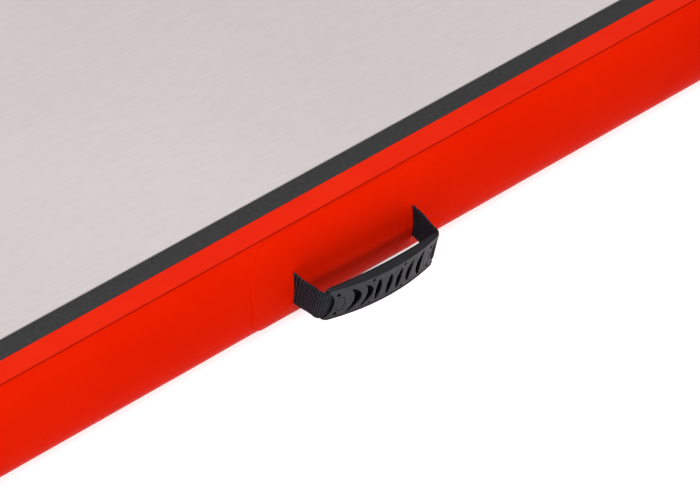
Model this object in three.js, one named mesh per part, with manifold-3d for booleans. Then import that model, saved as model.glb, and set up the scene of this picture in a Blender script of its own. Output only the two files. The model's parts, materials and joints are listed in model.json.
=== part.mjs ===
// Air track mat: a drop-stitch inflatable panel with webbing carry handles and an inflation valve.
// Millimetres. X runs along the mat, Y across it and Z up. The origin is the middle of the underside.

import * as THREE from 'three';
import { mergeVertices } from 'three/addons/utils/BufferGeometryUtils.js';
import Module from 'manifold-3d';

const wasm = await Module();
wasm.setup();

// ---------------------------------------------------------------- driving dimensions

const GAP = 0.3; // left between curved or tilted pieces that lie on each other

const MAT_LENGTH = 3000; // over the swollen walls
const MAT_WIDTH = 1000; // over the swollen walls
const MAT_HEIGHT = 100;
const WALL_BULGE = 25; // how far the wall swells out past its seam line
const SEAM_CORNER_RADIUS = 120; // of the seam line, in plan
const SKIN_THICKNESS = 0.9;
const WALL_THICKNESS = 0.9; // of each of the two wall layers
const TAPE_THICKNESS = 0.6;
const FLANGE_WIDTH = 30; // of the inner wall layer's lap on the skins
const TAPE_WIDTH = 26; // of the dark tape beside that lap

const STITCH_ROWS = 7;
const STITCH_SIDE_MARGIN = 42.7; // from the outer rows to where the bottom skin steps up
const STITCH_PITCH = 100; // along a row, from one top turn of the yarn to the next
const STITCH_YARN = 1.6;
const STITCH_END_MARGIN = 20; // from the last turn to where the bottom skin steps up

const HANDLE_X = 800; // of each handle's middle, to both sides of the mat's middle
const HANDLE_DROP = 1.5; // from the wall's crest down to the strap's middle where it leaves the wall
const HANDLE_DROOP = THREE.MathUtils.degToRad(13.6); // of the whole handle, below level
const HANDLE_ROLL = 0.051; // how much lower one end of the grip hangs, per length

const STRAP_WIDTH = 36;
const STRAP_THICKNESS = 1.8;
const STRAP_ROOT_SPACING = 163.7; // between the two slits
const STRAP_STAND_OFF = 38.4; // from the wall's crest to the strap inside the grip
const STRAP_CORNER_RADIUS = 6.5; // where the strap turns into the grip
const STRAP_ROOT_LENGTH = 7.4; // from the wall's crest to the line where the strap folds

const GRIP_END_ROOM = 5.35; // from each end of the grip to the plane of the strap's leg
const GRIP_CLEARANCE = 0.5; // above and below the strap, inside the grip
const GRIP_BACK_THICKNESS = 1.2;
const GRIP_END_THICKNESS = 4.8; // over both halves, at an end
const GRIP_BOW = 9.5; // how much further the front stands out in the middle
const GRIP_BACK_BOW = 4; // how much further the back and the strap stand out in the middle
const GRIP_FACE_THICKNESS = 2.2;
const GRIP_RIM_THICKNESS = 2;
const GRIP_CORNER_RADIUS = 4;
const GRIP_END_NOTCH_RADIUS = 12; // of the hollow cut into each end of the front
const GRIP_END_NOTCH_DEPTH = 4;
const GRIP_SLOTS = 7;
const GRIP_SLOT_WIDTH = 4.5;
const GRIP_SLOT_EDGE = 7; // from a slot's end to the grip's edge
const GRIP_SLOT_TO_BOSS = 16; // between the middles of a last slot and of its snap boss
const GRIP_BOSS_RADIUS = 4.5;
const GRIP_BOSS_EDGE = 8; // from a snap boss to the hollow in the end
const GRIP_BOSS_HEIGHT = 1;

const PATCH_LENGTH = 276;
const PATCH_TOP_MARGIN = 3.3; // from the top seam line, along the wall
const PATCH_BOTTOM_MARGIN = 8; // from the bottom seam line, along the wall
const PATCH_CORNER_RADIUS = 48;
const PATCH_THICKNESS = 0.8;
const SLIT_CLEARANCE = 0.4; // round the strap

const VALVE_BARREL_RADIUS = 22;
const VALVE_BARREL_WALL = 5; // round the socket that takes the pump's nozzle
const VALVE_SOCKET_DEPTH = 22;
const VALVE_SEAT_RADIUS = 12; // of the air passage behind the socket
const VALVE_BARREL_LENGTH = 38; // from the flange's face to the poppet's seat
const VALVE_FLANGE_LAP = 2.4; // of the flange past the barrel
const VALVE_FLANGE_THICKNESS = 1.9;
const VALVE_TETHER_LAP = 2; // of the tether's ring past the flange
const VALVE_TETHER_THICKNESS = 0.8;
const VALVE_COLLAR_THICKNESS = 4.7;
const VALVE_LIP_THICKNESS = 2.9;
const VALVE_LIP_CLEARANCE = 0.4; // round the tether's ring
const VALVE_NUT_WALL = 6.5; // of the nut, past the barrel
const VALVE_NUT_THICKNESS = 6;
const VALVE_HUB_RADIUS = 7;
const VALVE_HUB_THICKNESS = 3;
const VALVE_ARM_WIDTH = 3;
const STEM_RADIUS = 3;
const STEM_HEAD_RADIUS = 6;
const STEM_BUTTON_THICKNESS = 3;
const STEM_HEAD_THICKNESS = 2.5;
const DISC_LAP = 3.5; // of the disc on its seat
const DISC_THICKNESS = 2.5;
const BUTTON_RECESS = 8; // of the stem's button, below the flange's face
const SPRING_RADIUS = 5; // to the middle of the wire
const SPRING_WIRE = 1;
const SPRING_TURNS = 4.5;
const CAP_THICKNESS = 2.2;
const CAP_RECESS = 0.4; // of the cap's face, below the crest of the wall
const CAP_SKIRT_CLEARANCE = 1.5; // in the socket
const CAP_SKIRT_WALL = 2;
const CAP_SKIRT_DEPTH = 3;
const CAP_SEAL_INNER_MARGIN = 1; // from the socket
const CAP_SEAL_OUTER_MARGIN = 2.4; // from the flange's edge
const CAP_SEAL_THICKNESS = 0.8;
const CAP_LUG_WIDTH = 8;

const CORNER_STEPS = 6; // facets in each rounded corner of the mat
const BULGE_STEPS = 12; // facets up the swollen wall
const ROUND_STEPS = 20; // facets round the valve
const NUT_SIDES = 12;
const SPRING_STEPS = 9; // in each turn of the spring
const ARC_STEPS = 400; // in the measured length of the wall's section
const PATCH_ROWS = 14; // facets down each handle's patch
const BOW_STEPS = 10; // facets along the bowed grip

// ---------------------------------------------------------------- materials

const material = (color, roughness, metalness = 0) =>
  new THREE.MeshStandardMaterial({ color, roughness, metalness });

const MATERIALS = {
  topPvc: material(0xd8d2d0, 0.7),
  basePvc: material(0x2f2f31, 0.7),
  wallPvc: material(0xdc2408, 0.3),
  innerWallPvc: material(0xf1290e, 0.4),
  tape: material(0x3d3d3d, 0.6),
  yarn: material(0xe8e6e0, 0.9),
  webbing: material(0x18181a, 0.85),
  grip: material(0x3c3e42, 0.6),
  valve: material(0x2c2c2e, 0.45),
  rubber: material(0x1c1c1c, 0.8),
  steel: material(0xb8bbc0, 0.3, 0.9),
};

// ---------------------------------------------------------------- shared shapes

function solidOf(geometry) {
  const bare = geometry.clone();
  bare.deleteAttribute('normal');
  bare.deleteAttribute('uv');
  const merged = mergeVertices(bare, 1e-4);
  const vertProperties = new Float32Array(merged.attributes.position.array);
  const triVerts = new Uint32Array(merged.index.array);
  return new wasm.Manifold(new wasm.Mesh({ numProp: 3, vertProperties, triVerts }));
}

function geometryOf(solid) {
  const mesh = solid.getMesh();
  const geometry = new THREE.BufferGeometry();
  geometry.setAttribute('position', new THREE.BufferAttribute(mesh.vertProperties, 3));
  geometry.setIndex(new THREE.BufferAttribute(mesh.triVerts, 1));
  return geometry;
}

const cut = (geometry, ...tools) =>
  geometryOf(tools.reduce((solid, tool) => solid.subtract(solidOf(tool)), solidOf(geometry)));

const join = (geometry, ...others) =>
  geometryOf(others.reduce((solid, other) => solid.add(solidOf(other)), solidOf(geometry)));

const common = (geometry, other) => geometryOf(solidOf(geometry).intersect(solidOf(other)));

function extrude(shape, depth, curveSegments = 8) {
  return new THREE.ExtrudeGeometry(shape, { depth, bevelEnabled: false, curveSegments });
}

function box(from, to) {
  const size = to.map((value, i) => value - from[i]);
  const middle = to.map((value, i) => (value + from[i]) / 2);
  return new THREE.BoxGeometry(...size).translate(...middle);
}

function roundedRectangle(width, height, radius) {
  const shape = new THREE.Shape();
  const x = width / 2 - radius;
  const y = height / 2 - radius;
  shape.absarc(x, y, radius, 0, Math.PI / 2);
  shape.absarc(-x, y, radius, Math.PI / 2, Math.PI);
  shape.absarc(-x, -y, radius, Math.PI, Math.PI * 1.5);
  shape.absarc(x, -y, radius, Math.PI * 1.5, Math.PI * 2);
  return shape;
}

function addPiece(group, name, geometry, pieceMaterial) {
  const piece = new THREE.Mesh(geometry, pieceMaterial);
  piece.name = name;
  group.add(piece);
}

// ---------------------------------------------------------------- the mat's outline

const SEAM_HALF_LENGTH = MAT_LENGTH / 2 - WALL_BULGE;
const SEAM_HALF_WIDTH = MAT_WIDTH / 2 - WALL_BULGE;

// Stations round the seam line: the centre of the corner's arc, and the way out from it.
function outlineStations() {
  const stations = [];
  const corners = [[1, 1], [-1, 1], [-1, -1], [1, -1]];
  corners.forEach(([signX, signY], quarter) => {
    for (let step = 0; step <= CORNER_STEPS; step += 1) {
      const angle = (quarter + step / CORNER_STEPS) * Math.PI / 2;
      stations.push({
        centre: new THREE.Vector2(
          signX * (SEAM_HALF_LENGTH - SEAM_CORNER_RADIUS),
          signY * (SEAM_HALF_WIDTH - SEAM_CORNER_RADIUS),
        ),
        out: new THREE.Vector2(Math.cos(angle), Math.sin(angle)),
      });
    }
  });
  return stations;
}

const STATIONS = outlineStations();

const outlinePoint = ({ centre, out }, outset) =>
  centre.clone().addScaledVector(out, SEAM_CORNER_RADIUS + outset);

// A closed ring: the profile's points are [outset from the seam line, height], anticlockwise.
function ring(profile) {
  const positions = [];
  const index = [];
  const count = profile.length;
  STATIONS.forEach((station, s) => {
    profile.forEach(([outset, height], p) => {
      const at = outlinePoint(station, outset);
      positions.push(at.x, at.y, height);
      const nextPoint = (p + 1) % count;
      const nextRow = ((s + 1) % STATIONS.length) * count;
      index.push(s * count + p, nextRow + p, nextRow + nextPoint);
      index.push(s * count + p, nextRow + nextPoint, s * count + nextPoint);
    });
  });
  const geometry = new THREE.BufferGeometry();
  geometry.setAttribute('position', new THREE.Float32BufferAttribute(positions, 3));
  geometry.setIndex(index);
  return geometry;
}

function plate(outset, bottom, top) {
  const shape = new THREE.Shape(STATIONS.map((station) => outlinePoint(station, outset)));
  return extrude(shape, top - bottom).translate(0, 0, bottom);
}

// ---------------------------------------------------------------- the swollen wall's section

// Layers of the wall are half ellipses round the seam line, each smaller by its inset.
const wallPoint = (angle, inset) => [
  (WALL_BULGE - inset) * Math.cos(angle),
  MAT_HEIGHT / 2 + (MAT_HEIGHT / 2 - inset) * Math.sin(angle),
];

// From the bottom of the wall to its top.
function wallCurve(inset) {
  const points = [];
  for (let step = 0; step <= BULGE_STEPS; step += 1) {
    const angle = (step / BULGE_STEPS - 0.5) * Math.PI;
    points.push(step === 0 || step === BULGE_STEPS
      ? [0, wallPoint(angle, inset)[1]]
      : wallPoint(angle, inset));
  }
  return points;
}

const INNER_WALL_INSET = WALL_THICKNESS + GAP;
const FLANGE_TOP = MAT_HEIGHT - INNER_WALL_INSET;
const SKIN_TOP = FLANGE_TOP - WALL_THICKNESS;
const SKIN_UNDER = SKIN_TOP - SKIN_THICKNESS;
const RIM_UNDER = INNER_WALL_INSET + WALL_THICKNESS; // of the bottom skin's raised rim
const TAPE_START = FLANGE_WIDTH + GAP;
const TAPE_END = TAPE_START + TAPE_WIDTH;
const RIM_STEP = TAPE_END + 1; // where the bottom skin comes down to the floor
const SKIN_EDGE = 1; // from the seam line in to the skins' cut edges

function outerWall() {
  return ring([...wallCurve(0), ...wallCurve(WALL_THICKNESS).reverse()]);
}

function innerWall() {
  return ring([
    ...wallCurve(INNER_WALL_INSET),
    [-FLANGE_WIDTH, FLANGE_TOP],
    [-FLANGE_WIDTH, SKIN_TOP],
    ...wallCurve(INNER_WALL_INSET + WALL_THICKNESS).reverse(),
    [-FLANGE_WIDTH, RIM_UNDER],
    [-FLANGE_WIDTH, INNER_WALL_INSET],
  ]);
}

function bottomSkin() {
  const rimTop = RIM_UNDER + SKIN_THICKNESS;
  const stepEnd = RIM_STEP + SKIN_THICKNESS;
  const rim = ring([
    [-SKIN_EDGE, RIM_UNDER],
    [-SKIN_EDGE, rimTop],
    [-stepEnd, rimTop],
    [-stepEnd, 0],
    [-RIM_STEP, 0],
    [-RIM_STEP, RIM_UNDER],
  ]);
  return join(rim, plate(-RIM_STEP - SKIN_THICKNESS / 2, 0, SKIN_THICKNESS));
}

const tapeRing = (bottom, top) =>
  ring([[-TAPE_START, bottom], [-TAPE_START, top], [-TAPE_END, top], [-TAPE_END, bottom]]);

// One yarn that runs up and down between the skins, all along the mat.
function stitchRow() {
  const low = SKIN_THICKNESS + GAP;
  const high = SKIN_UNDER - GAP;
  const reach = SEAM_HALF_LENGTH - RIM_STEP - STITCH_END_MARGIN;
  const halfPitches = 2 * Math.floor((2 * reach) / STITCH_PITCH);
  const halfPitch = STITCH_PITCH / 2;
  const slope = (high - low) / halfPitch;
  const upright = STITCH_YARN * Math.sqrt(1 + slope * slope);
  const upper = [];
  const lower = [];
  for (let i = 0; i <= halfPitches; i += 1) {
    const x = (i - halfPitches / 2) * halfPitch;
    const atTop = i % 2 === 1;
    upper.push(new THREE.Vector2(x, atTop ? high : low + upright));
    lower.push(new THREE.Vector2(x, atTop ? high - upright : low));
  }
  const shape = new THREE.Shape([...lower, ...upper.reverse()]);
  return extrude(shape, STITCH_YARN).rotateX(Math.PI / 2).translate(0, STITCH_YARN / 2, 0);
}

function addMat(group) {
  const valveHole = valveCylinder(VALVE_HOLE_RADIUS, -WALL_BULGE, GAP);
  const outerRow = SEAM_HALF_WIDTH - RIM_STEP - STITCH_SIDE_MARGIN;
  addPiece(group, 'bottom_skin', bottomSkin(), MATERIALS.basePvc);
  addPiece(group, 'top_skin', plate(-SKIN_EDGE, SKIN_UNDER, SKIN_TOP), MATERIALS.topPvc);
  addPiece(group, 'inner_wall', cut(innerWall(), valveHole), MATERIALS.innerWallPvc);
  addPiece(group, 'outer_wall', cut(outerWall(), valveHole), MATERIALS.wallPvc);
  addPiece(group, 'top_edge_tape', tapeRing(SKIN_TOP, SKIN_TOP + TAPE_THICKNESS), MATERIALS.tape);
  addPiece(group, 'bottom_edge_tape', tapeRing(RIM_UNDER - TAPE_THICKNESS, RIM_UNDER), MATERIALS.tape);
  for (let row = 1; row <= STITCH_ROWS; row += 1) {
    const y = outerRow * (2 * (row - 1) / (STITCH_ROWS - 1) - 1);
    addPiece(group, `drop_stitch_row_${row}`, stitchRow().translate(0, y, 0), MATERIALS.yarn);
  }
}

// ---------------------------------------------------------------- handles

// A handle's own frame: X along the strap's slits, -Y straight out along the drooping strap, Z across the
// strap's width. Its origin is on the wall's crest.
const STRAP_X = STRAP_ROOT_SPACING / 2;
const ROOT_FOLD = STRAP_ROOT_LENGTH;
const STRAP_END_CLEARANCE = STRAP_THICKNESS / 2 + GAP; // from a fold line to the piece past it
const GRIP_FOLD = STRAP_STAND_OFF - STRAP_CORNER_RADIUS - STRAP_END_CLEARANCE;
const GRIP_BACK_FACE = STRAP_STAND_OFF - STRAP_THICKNESS / 2 - GAP - GRIP_BACK_THICKNESS;
const GRIP_FRONT_START = GRIP_BACK_FACE + GRIP_BACK_THICKNESS + GAP;
const GRIP_END_FACE = GRIP_BACK_FACE + GRIP_END_THICKNESS;
const GRIP_LENGTH = STRAP_ROOT_SPACING - 2 * GRIP_END_ROOM;
const GRIP_HEIGHT = STRAP_WIDTH + 2 * (GRIP_CLEARANCE + GRIP_RIM_THICKNESS);
const GRIP_BOSS_OFFSET = GRIP_LENGTH / 2 - GRIP_END_NOTCH_DEPTH - GRIP_BOSS_EDGE - GRIP_BOSS_RADIUS;
const GRIP_LAST_SLOT = GRIP_BOSS_OFFSET - GRIP_SLOT_TO_BOSS;
const HANDLE_TILT = new THREE.Matrix4().makeRotationX(HANDLE_DROOP);
const HANDLE_PLACE = new THREE.Matrix4()
  .makeTranslation(0, -WALL_BULGE, MAT_HEIGHT / 2 - HANDLE_DROP)
  .multiply(HANDLE_TILT);
const HANDLE_UNPLACE = HANDLE_PLACE.clone().invert();

// Moves a piece across the strap's width by so much for each millimetre along X and along Y.
const shear = (alongX, alongY, shift = 0) =>
  new THREE.Matrix4().set(1, 0, 0, 0, 0, 1, 0, 0, alongX, alongY, 1, shift, 0, 0, 0, 1);

const acrossStrap = (shape, width, curveSegments) =>
  extrude(shape, width, curveSegments).translate(0, 0, -width / 2);

// Lengths down the wall from its top seam, each with the angle of its section.
function wallArcTable() {
  const table = [{ length: 0, angle: Math.PI / 2 }];
  for (let step = 1; step <= ARC_STEPS; step += 1) {
    const angle = (0.5 - step / ARC_STEPS) * Math.PI;
    const from = wallPoint(table[step - 1].angle, 0);
    const to = wallPoint(angle, 0);
    table.push({ length: table[step - 1].length + Math.hypot(to[0] - from[0], to[1] - from[1]), angle });
  }
  return table;
}

const WALL_ARCS = wallArcTable();

// A point of the wall at a length down from the top seam, moved outward by an offset.
function wallPointAtArc(arc, offset) {
  const { angle } = WALL_ARCS.find(({ length }) => length >= arc);
  const [outset, height] = wallPoint(angle, 0);
  const normal = new THREE.Vector2(
    Math.cos(angle) * MAT_HEIGHT / 2,
    Math.sin(angle) * WALL_BULGE,
  ).normalize();
  return [outset + normal.x * offset, height + normal.y * offset];
}

// The patch is a rounded rectangle laid down the wall. Its frame: X along the wall, -Y out, Z up.
function patch() {
  const top = PATCH_TOP_MARGIN;
  const bottom = WALL_ARCS[ARC_STEPS].length - PATCH_BOTTOM_MARGIN;
  const positions = [];
  const index = [];
  for (let row = 0; row <= PATCH_ROWS; row += 1) {
    const arc = top + (bottom - top) * (1 - Math.cos(Math.PI * row / PATCH_ROWS)) / 2;
    const toEdge = Math.min(arc - top, bottom - arc, PATCH_CORNER_RADIUS);
    const fromCentre = PATCH_CORNER_RADIUS - toEdge;
    const corner = Math.sqrt(PATCH_CORNER_RADIUS ** 2 - fromCentre ** 2);
    const halfWidth = PATCH_LENGTH / 2 - PATCH_CORNER_RADIUS + corner;
    const inner = wallPointAtArc(arc, GAP);
    const outer = wallPointAtArc(arc, GAP + PATCH_THICKNESS);
    positions.push(-halfWidth, -inner[0], inner[1], -halfWidth, -outer[0], outer[1]);
    positions.push(halfWidth, -outer[0], outer[1], halfWidth, -inner[0], inner[1]);
    for (let side = 0; side < 4 && row > 0; side += 1) {
      const here = row * 4 + side;
      const beside = row * 4 + (side + 1) % 4;
      index.push(here, beside, here - 4, beside, beside - 4, here - 4);
    }
  }
  index.push(0, 1, 2, 0, 2, 3);
  const last = PATCH_ROWS * 4;
  index.push(last, last + 2, last + 1, last, last + 3, last + 2);
  const geometry = new THREE.BufferGeometry();
  geometry.setAttribute('position', new THREE.Float32BufferAttribute(positions, 3));
  geometry.setIndex(index);
  const slits = [-1, 1].map((side) => {
    const halfSlit = STRAP_THICKNESS / 2 + SLIT_CLEARANCE;
    const halfHeight = STRAP_WIDTH / 2 + SLIT_CLEARANCE;
    const x = side * STRAP_X;
    return box([x - halfSlit, -STRAP_STAND_OFF / 2, -halfHeight], [x + halfSlit, WALL_BULGE / 2, halfHeight])
      .applyMatrix4(HANDLE_PLACE);
  });
  return cut(geometry, ...slits);
}

// The strap's fixed stretch, from the wall through the slit to the line where it folds.
function strapRoot(side) {
  const x = side * STRAP_X;
  const half = STRAP_THICKNESS / 2;
  const strap = box(
    [x - half, -(ROOT_FOLD - STRAP_END_CLEARANCE), -STRAP_WIDTH / 2],
    [x + half, WALL_BULGE / 2, STRAP_WIDTH / 2],
  );
  const wall = extrude(
    new THREE.Shape(wallCurve(-GAP).map(([out, height]) => new THREE.Vector2(out, height))),
    STRAP_WIDTH,
  );
  const toSide = new THREE.Matrix4().makeBasis(
    new THREE.Vector3(0, -1, 0),
    new THREE.Vector3(0, 0, 1),
    new THREE.Vector3(-1, 0, 0),
  );
  wall.applyMatrix4(toSide).translate(x + STRAP_WIDTH / 2, 0, 0).applyMatrix4(HANDLE_UNPLACE);
  return cut(strap, wall);
}

// The strap's swinging stretch, with a round edge at each fold line.
function strapLeg(side) {
  const x = side * STRAP_X;
  const radius = STRAP_THICKNESS / 2;
  const section = new THREE.Shape();
  section.absarc(x, -ROOT_FOLD, radius, 0, Math.PI);
  section.absarc(x, -GRIP_FOLD, radius, Math.PI, Math.PI * 2);
  const slope = HANDLE_ROLL * x / (GRIP_FOLD - ROOT_FOLD);
  return acrossStrap(section, STRAP_WIDTH, 4).applyMatrix4(shear(0, slope, slope * ROOT_FOLD));
}

// Points along the grip at a depth that is greater by the bow in the middle.
function bowedLine(halfLength, depth, bow) {
  const points = [];
  for (let step = 0; step <= BOW_STEPS; step += 1) {
    const along = -1 + 2 * step / BOW_STEPS;
    points.push(new THREE.Vector2(along * halfLength, -depth - bow * (1 - along * along)));
  }
  return points;
}

const bowedShape = (halfLength, back, backBow, front, frontBow) => new THREE.Shape([
  ...bowedLine(halfLength, back, backBow).reverse(),
  ...bowedLine(halfLength, front, frontBow),
]);

// The strap's stretch through the grip, with its turned ends.
function strapMiddle() {
  const half = STRAP_THICKNESS / 2;
  const x = STRAP_X - STRAP_CORNER_RADIUS;
  const y = -STRAP_STAND_OFF + STRAP_CORNER_RADIUS;
  const outer = STRAP_CORNER_RADIUS + half;
  const inner = STRAP_CORNER_RADIUS - half;
  const section = new THREE.Shape();
  section.absarc(-x, y, outer, Math.PI, Math.PI * 1.5);
  bowedLine(x, STRAP_STAND_OFF + half, GRIP_BACK_BOW).slice(1, -1)
    .forEach((point) => section.lineTo(point.x, point.y));
  section.absarc(x, y, outer, Math.PI * 1.5, Math.PI * 2);
  section.absarc(x, y, inner, Math.PI * 2, Math.PI * 1.5, true);
  bowedLine(x, STRAP_STAND_OFF - half, GRIP_BACK_BOW).reverse().slice(1, -1)
    .forEach((point) => section.lineTo(point.x, point.y));
  section.absarc(-x, y, inner, Math.PI * 1.5, Math.PI, true);
  return acrossStrap(section, STRAP_WIDTH, 5).applyMatrix4(shear(-HANDLE_ROLL, 0));
}

function gripSlot(number) {
  const x = GRIP_LAST_SLOT * (2 * number / (GRIP_SLOTS - 1) - 1);
  const length = GRIP_HEIGHT - 2 * GRIP_SLOT_EDGE;
  const outline = roundedRectangle(GRIP_SLOT_WIDTH, length, GRIP_SLOT_WIDTH / 2 - GAP / 2);
  const depth = GRIP_BOW + GRIP_END_THICKNESS;
  return extrude(outline, depth, 2).rotateX(Math.PI / 2).translate(x, -GRIP_FRONT_START - GAP, 0);
}

function gripNotch(side) {
  const x = side * (GRIP_LENGTH / 2 + GRIP_END_NOTCH_RADIUS - GRIP_END_NOTCH_DEPTH);
  return new THREE.CylinderGeometry(GRIP_END_NOTCH_RADIUS, GRIP_END_NOTCH_RADIUS, GRIP_LENGTH, 16)
    .translate(x, 0, 0);
}

function gripBoss(side) {
  const along = GRIP_BOSS_OFFSET / (GRIP_LENGTH / 2);
  const face = GRIP_END_FACE + GRIP_BOW * (1 - along * along);
  const height = GRIP_FACE_THICKNESS + GRIP_BOSS_HEIGHT;
  return new THREE.CylinderGeometry(GRIP_BOSS_RADIUS, GRIP_BOSS_RADIUS, height, 10)
    .translate(side * GRIP_BOSS_OFFSET, -face - GRIP_BOSS_HEIGHT + height / 2, 0);
}

// The grip's front half: a bowed face with a rim above and below, open behind and at its ends.
function gripFront() {
  const halfLength = GRIP_LENGTH / 2;
  const strapFront = STRAP_STAND_OFF + STRAP_THICKNESS / 2 + GAP;
  const inRims = GRIP_HEIGHT / 2 - GRIP_RIM_THICKNESS;
  const outside = bowedShape(halfLength, GRIP_FRONT_START, GRIP_BACK_BOW, GRIP_END_FACE, GRIP_BOW);
  const insideBow = GRIP_BOW - GRIP_FACE_THICKNESS + (GRIP_END_FACE - strapFront);
  const inside = bowedShape(halfLength, GRIP_FRONT_START - GAP, 0, strapFront, insideBow);
  const openEnds = box(
    [-GRIP_LENGTH, -strapFront, -inRims],
    [GRIP_LENGTH, -GRIP_FRONT_START + GAP, inRims],
  );
  const slots = Array.from({ length: GRIP_SLOTS }, (_, number) => gripSlot(number));
  const shell = cut(
    acrossStrap(outside, GRIP_HEIGHT),
    acrossStrap(inside, 2 * inRims),
    openEnds,
    ...slots,
    gripNotch(-1),
    gripNotch(1),
  );
  return join(shell, gripBoss(-1), gripBoss(1)).applyMatrix4(shear(-HANDLE_ROLL, 0));
}

// The grip's back half: a bowed plate with rounded corners.
function gripBack() {
  const end = GRIP_BACK_FACE + GRIP_BACK_THICKNESS;
  const plan = bowedShape(GRIP_LENGTH / 2, GRIP_BACK_FACE, GRIP_BACK_BOW, end, GRIP_BACK_BOW);
  const face = extrude(roundedRectangle(GRIP_LENGTH, GRIP_HEIGHT, GRIP_CORNER_RADIUS), 2 * end, 4)
    .rotateX(Math.PI / 2);
  return common(acrossStrap(plan, GRIP_HEIGHT), face).applyMatrix4(shear(-HANDLE_ROLL, 0));
}

function addHandle(group, name, side, x) {
  const seat = new THREE.Group();
  seat.position.set(x, side * SEAM_HALF_WIDTH, 0);
  seat.rotation.z = side < 0 ? 0 : Math.PI;
  group.add(seat);
  addPiece(seat, `${name}_patch`, patch(), MATERIALS.wallPvc);

  const handle = new THREE.Group();
  handle.applyMatrix4(HANDLE_PLACE);
  seat.add(handle);
  addPiece(handle, `${name}_strap_root_left`, strapRoot(-1), MATERIALS.webbing);
  addPiece(handle, `${name}_strap_root_right`, strapRoot(1), MATERIALS.webbing);
  addPiece(handle, `${name}_strap_leg_left`, strapLeg(-1), MATERIALS.webbing);
  addPiece(handle, `${name}_strap_leg_right`, strapLeg(1), MATERIALS.webbing);
  addPiece(handle, `${name}_strap_middle`, strapMiddle(), MATERIALS.webbing);
  addPiece(handle, `${name}_grip_front`, gripFront(), MATERIALS.grip);
  addPiece(handle, `${name}_grip_back`, gripBack(), MATERIALS.grip);
}

// ---------------------------------------------------------------- inflation valve

// Depths along the valve's axis, counted outward from the wall's crest.
const CAP_FACE = -CAP_RECESS;
const CAP_UNDER = CAP_FACE - CAP_THICKNESS;
const SEAL_OUTER = CAP_UNDER - GAP;
const FLANGE_FACE = SEAL_OUTER - CAP_SEAL_THICKNESS - GAP;
const FLANGE_BACK = FLANGE_FACE - VALVE_FLANGE_THICKNESS;
const TETHER_OUTER = FLANGE_BACK - GAP;
const TETHER_INNER = TETHER_OUTER - VALVE_TETHER_THICKNESS;
const COLLAR_OUTER = TETHER_INNER - GAP;
const COLLAR_INNER = COLLAR_OUTER - VALVE_COLLAR_THICKNESS;
const NUT_OUTER = COLLAR_INNER - GAP;
const BARREL_END = FLANGE_FACE - VALVE_BARREL_LENGTH;
const SOCKET_FLOOR = FLANGE_FACE - VALVE_SOCKET_DEPTH;
const HUB_OUTER = SOCKET_FLOOR;
const BUTTON_FACE = FLANGE_FACE - BUTTON_RECESS;
const BUTTON_UNDER = BUTTON_FACE - STEM_BUTTON_THICKNESS;
const DISC_OUTER = BARREL_END - GAP;
const DISC_INNER = DISC_OUTER - DISC_THICKNESS;
const STEM_END = DISC_INNER - GAP - STEM_HEAD_THICKNESS;

// Radii, outward from the barrel and then inward from it.
const BARREL_CLEAR_RADIUS = VALVE_BARREL_RADIUS + GAP;
const VALVE_FLANGE_RADIUS = VALVE_BARREL_RADIUS + VALVE_FLANGE_LAP;
const VALVE_TETHER_RADIUS = VALVE_FLANGE_RADIUS + VALVE_TETHER_LAP;
const LIP_INNER_RADIUS = VALVE_TETHER_RADIUS + VALVE_LIP_CLEARANCE;
const COLLAR_RADIUS = LIP_INNER_RADIUS + VALVE_LIP_THICKNESS;
const VALVE_HOLE_RADIUS = COLLAR_RADIUS + GAP; // through both wall layers
const VALVE_NUT_RADIUS = VALVE_BARREL_RADIUS + VALVE_NUT_WALL;
const VALVE_SOCKET_RADIUS = VALVE_BARREL_RADIUS - VALVE_BARREL_WALL;
const CAP_SKIRT_RADIUS = VALVE_SOCKET_RADIUS - CAP_SKIRT_CLEARANCE;
const DISC_RADIUS = VALVE_SEAT_RADIUS + DISC_LAP;

const toValve = (geometry) =>
  geometry.rotateZ(-Math.PI / 2).translate(MAT_LENGTH / 2, 0, MAT_HEIGHT / 2);

// A turned piece: the profile's points are [radius, depth], anticlockwise.
function turned(profile) {
  const points = profile.map(([radius, depth]) => new THREE.Vector2(radius, depth));
  return toValve(new THREE.LatheGeometry([...points, points[0]], ROUND_STEPS));
}

function valveCylinder(radius, from, to) {
  const cylinder = new THREE.CylinderGeometry(radius, radius, to - from, ROUND_STEPS);
  return toValve(cylinder.translate(0, (from + to) / 2, 0));
}

const turnedRing = (innerRadius, outerRadius, from, to) =>
  turned([[innerRadius, from], [outerRadius, from], [outerRadius, to], [innerRadius, to]]);


function valveCollar() {
  return turned([
    [BARREL_CLEAR_RADIUS, COLLAR_INNER],
    [COLLAR_RADIUS, COLLAR_INNER],
    [COLLAR_RADIUS, CAP_FACE],
    [LIP_INNER_RADIUS, CAP_FACE],
    [LIP_INNER_RADIUS, COLLAR_OUTER],
    [BARREL_CLEAR_RADIUS, COLLAR_OUTER],
  ]);
}

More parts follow.
